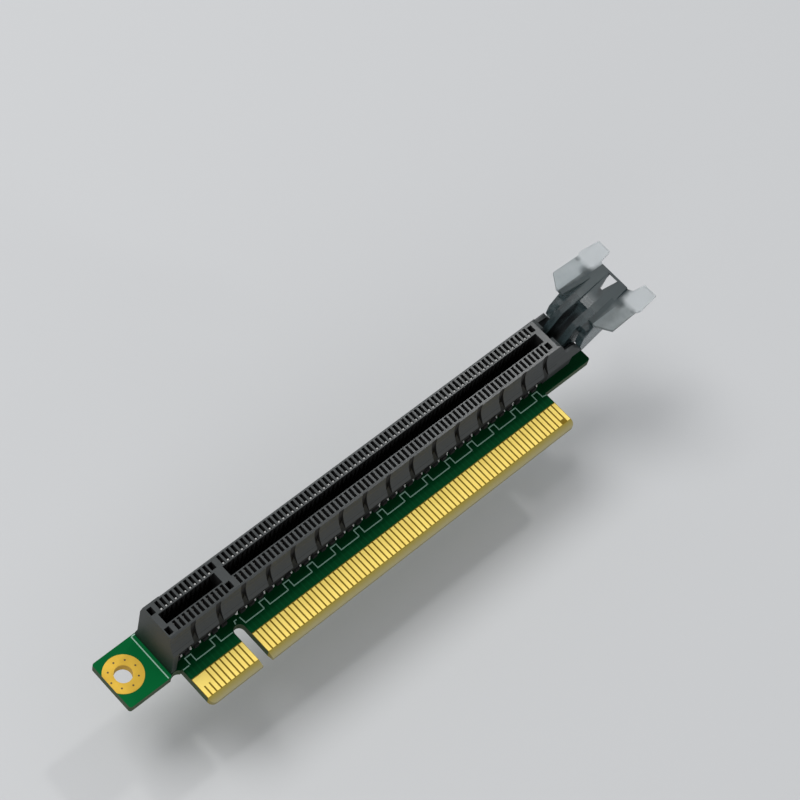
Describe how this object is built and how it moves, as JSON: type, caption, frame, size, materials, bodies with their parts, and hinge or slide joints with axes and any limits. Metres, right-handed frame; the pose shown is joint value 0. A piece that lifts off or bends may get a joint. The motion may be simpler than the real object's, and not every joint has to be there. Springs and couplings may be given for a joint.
{
  "type": "pcie riser card",
  "caption": "Flat riser card with a long slotted connector on its green board, gold edge fingers along one side, a plated screw hole and a smoky hinged card latch.",
  "frame": {"origin": "middle of the floor under the card as it lies on the tips of its soldered tails", "axes": "+X along the slot towards the latch, +Y from the edge fingers towards the far long edge, +Z out of the slot opening"},
  "size_m": [0.1168, 0.0208, 0.0167],
  "materials": {
    "board_green": "gloss",
    "gold": "gloss",
    "housing_grey": "satin",
    "contact_silver": "satin",
    "latch_smoky": "gloss"
  },
  "bodies": {
    "card": {"circuit_board": "board_green", "mounting_hole_plating": "gold", "connector_housing": "housing_grey", "fingers_front_power": "gold", "fingers_front_x1": "gold", "fingers_front_x4": "gold", "fingers_front_x8": "gold", "fingers_front_x16": "gold", "fingers_back_power": "gold", "fingers_back_x1": "gold", "fingers_back_x4": "gold", "fingers_back_x8": "gold", "fingers_back_x16": "gold", "contacts_near_power": "contact_silver", "contacts_near_x1": "contact_silver", "contacts_near_x4": "contact_silver", "contacts_near_x8": "contact_silver", "contacts_near_x16": "contact_silver", "contacts_far_power": "contact_silver", "contacts_far_x1": "contact_silver", "contacts_far_x4": "contact_silver", "contacts_far_x8": "contact_silver", "contacts_far_x16": "contact_silver"},
    "latch": {"card_latch": "latch_smoky"}
  },
  "joints": [
    {"name": "latch_hinge", "type": "hinge", "parent": "card", "child": "latch", "pos_m": [0.0414, 0.00267, 0.0072], "axis": [0, 1, 0], "range_deg": [-32, 0]}
  ]
}
